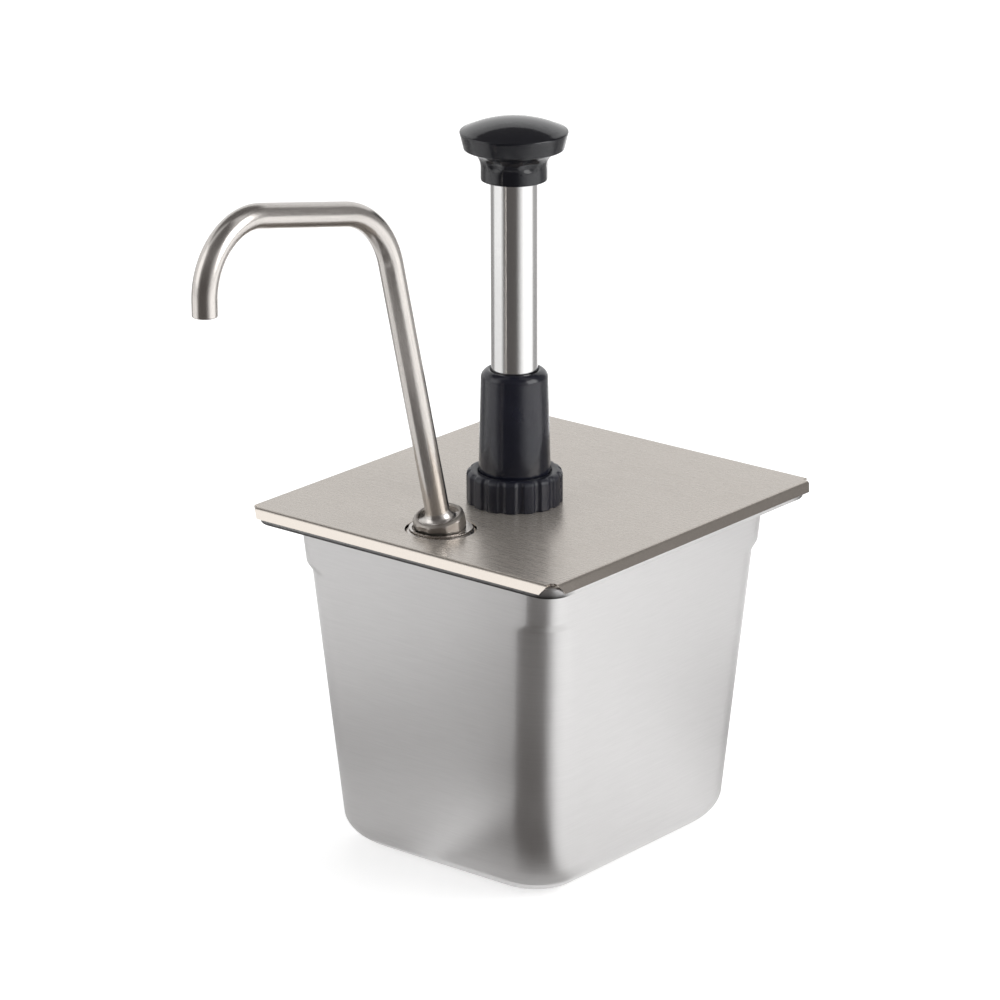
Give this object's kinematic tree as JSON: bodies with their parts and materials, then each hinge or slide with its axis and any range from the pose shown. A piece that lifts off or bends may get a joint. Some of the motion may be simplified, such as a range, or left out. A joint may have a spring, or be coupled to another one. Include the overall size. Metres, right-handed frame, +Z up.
{
  "type": "sauce dispenser",
  "caption": "Counter sauce dispenser: drawn stainless food pan with a folded sheet lid, a sprung hand pump with a black knob and a bent swivelling spout.",
  "frame": {"origin": "centre of the pan's flat base", "axes": "+Z up, X along the pan's long side with the spout towards -X, Y along the short side"},
  "size_m": [0.2956, 0.1668, 0.3172],
  "materials": {
    "pan_steel": "drawn stainless sheet with a satin finish",
    "lid_steel": "stainless sheet brushed along one direction",
    "tube_steel": "drawn stainless tube, finely brushed along its length",
    "polished_steel": "ground and polished stainless",
    "fitting_steel": "turned stainless",
    "spring_steel": "drawn stainless spring wire",
    "ring_plastic": "black moulded plastic, satin",
    "sleeve_plastic": "black moulded plastic, smooth",
    "knob_plastic": "black moulded plastic, smooth",
    "foot_plastic": "black machined plastic",
    "piston_plastic": "white food-grade plastic",
    "seal_rubber": "food-grade rubber"
  },
  "bodies": {
    "pan": {"pan": "pan_steel"},
    "lid": {"lid_plate": "lid_steel", "locking_ring": "ring_plastic", "guide_sleeve": "sleeve_plastic", "wiper_seal": "seal_rubber", "lid_gasket": "seal_rubber", "pump_cylinder": "polished_steel", "cylinder_o_ring": "seal_rubber", "pump_foot": "foot_plastic", "inlet_seat": "fitting_steel", "seat_o_ring": "seal_rubber", "ball_stop_pin": "fitting_steel", "spring_seat": "fitting_steel", "return_spring": "spring_steel", "discharge_tube": "tube_steel", "tube_o_ring": "seal_rubber", "outlet_fitting": "fitting_steel", "union_nut": "fitting_steel", "spout_o_ring": "seal_rubber"},
    "plunger": {"piston": "piston_plastic", "piston_seal": "seal_rubber", "piston_pin": "fitting_steel", "plunger_tube": "polished_steel", "tube_plug": "fitting_steel", "knob_stud": "fitting_steel", "knob": "knob_plastic"},
    "spout": {"spout_tube": "tube_steel"},
    "inlet_ball": {"inlet_ball": "polished_steel"},
    "outlet_ball": {"outlet_ball": "polished_steel"}
  },
  "joints": [
    {"name": "lid_lift", "type": "slide", "parent": "pan", "child": "lid", "axis": [0, 0, 1], "range_m": [0, 0.16]},
    {"name": "plunger_press", "type": "slide", "parent": "lid", "child": "plunger", "axis": [0, 0, -1], "range_m": [0, 0.06], "stiffness_N_per_m": 400, "springref_m": -0.02, "deforming": ["return_spring"]},
    {"name": "spout_swivel", "type": "hinge", "parent": "lid", "child": "spout", "pos_m": [-0.0608, 0, 0.153], "axis": [-0.2412, 0, 0.9705], "range_deg": [-120, 120]},
    {"name": "inlet_ball_lift", "type": "slide", "parent": "lid", "child": "inlet_ball", "axis": [0, 0, 1], "range_m": [0, 0.003]},
    {"name": "outlet_ball_lift", "type": "slide", "parent": "lid", "child": "outlet_ball", "axis": [-0.2412, 0, 0.9705], "range_m": [0, 0.003]}
  ]
}
